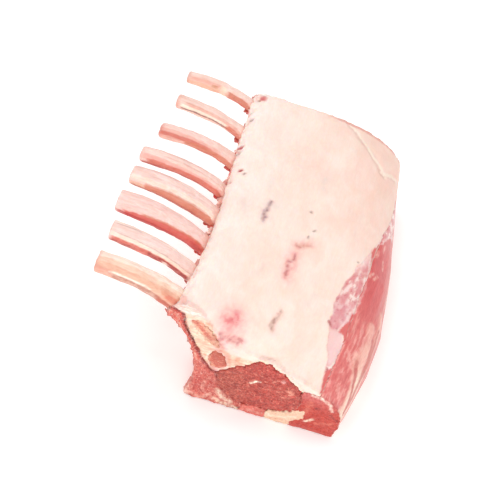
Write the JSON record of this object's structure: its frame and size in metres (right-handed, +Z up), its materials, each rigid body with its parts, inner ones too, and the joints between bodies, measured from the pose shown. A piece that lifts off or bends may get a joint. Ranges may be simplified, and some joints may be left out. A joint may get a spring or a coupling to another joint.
{
  "type": "raw frenched rack of lamb",
  "caption": "Raw rack of lamb standing on its sawn chine side, with scraped curved rib bones, a loin eye at the cut end and a thick fat cap over the back.",
  "frame": {"origin": "middle of the whole rack's box, at the surface it stands on", "axes": "+Z up; +Y along the spine, away from the cut end that shows the loin eye; +X from the rib tips towards the back, so the bare ribs reach out towards -X"},
  "size_m": [0.1758, 0.1958, 0.0928],
  "materials": {
    "outer_fat": "moist, cream white outer fat with faint pink veins",
    "seam_fat": "moist, cream seam fat and gristle",
    "cap_meat": "moist, dull red muscle between the fat layers",
    "eye_meat": "wet, dark red cut muscle with a fine grain",
    "back_meat": "wet, bright red muscle with pale tendon streaks",
    "rib_side_meat": "wet, pinkish red muscle under a thin pale membrane",
    "bone": "scraped, damp bone, pinkish cream with red-brown streaks"
  },
  "bodies": {
    "root": {"fat_cap": "outer_fat", "chine_seam": "seam_fat", "cap_muscle": "cap_meat", "wedge_muscle": "cap_meat", "loin_eye": "eye_meat", "back_muscle": "back_meat", "rib_meat": "rib_side_meat", "chine_muscle": "back_meat", "rib_1": "bone", "rib_2": "bone", "rib_3": "bone", "rib_4": "bone", "rib_5": "bone", "rib_6": "bone", "rib_7": "bone", "rib_8": "bone"}
  },
  "joints": []
}
